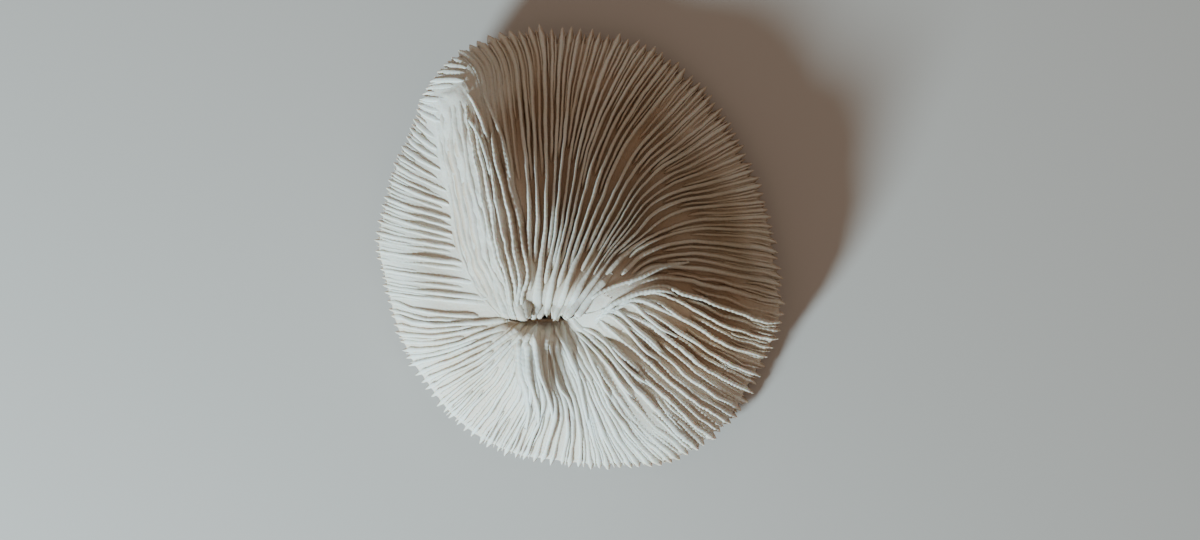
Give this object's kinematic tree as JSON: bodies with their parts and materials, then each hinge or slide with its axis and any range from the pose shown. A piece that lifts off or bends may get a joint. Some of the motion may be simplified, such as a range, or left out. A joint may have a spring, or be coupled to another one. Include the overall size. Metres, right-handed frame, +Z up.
{
  "type": "mushroom coral",
  "caption": "Skeleton of a solitary mushroom coral: a domed oval plate with radial toothed fins round a slit-like mouth, cut off flat underneath to rest on.",
  "frame": {"origin": "on the flat resting face, under the middle of the outline", "axes": "+Z up from the resting face, +Y along the long way of the oval towards the high fan of fins, +X across it"},
  "size_m": [0.1107, 0.1201, 0.0382],
  "materials": {
    "skeleton": "matt, finely granular, off-white on the fin edges and warm tan deep between them"
  },
  "bodies": {
    "root": {"coral_skeleton": "skeleton"}
  },
  "joints": []
}
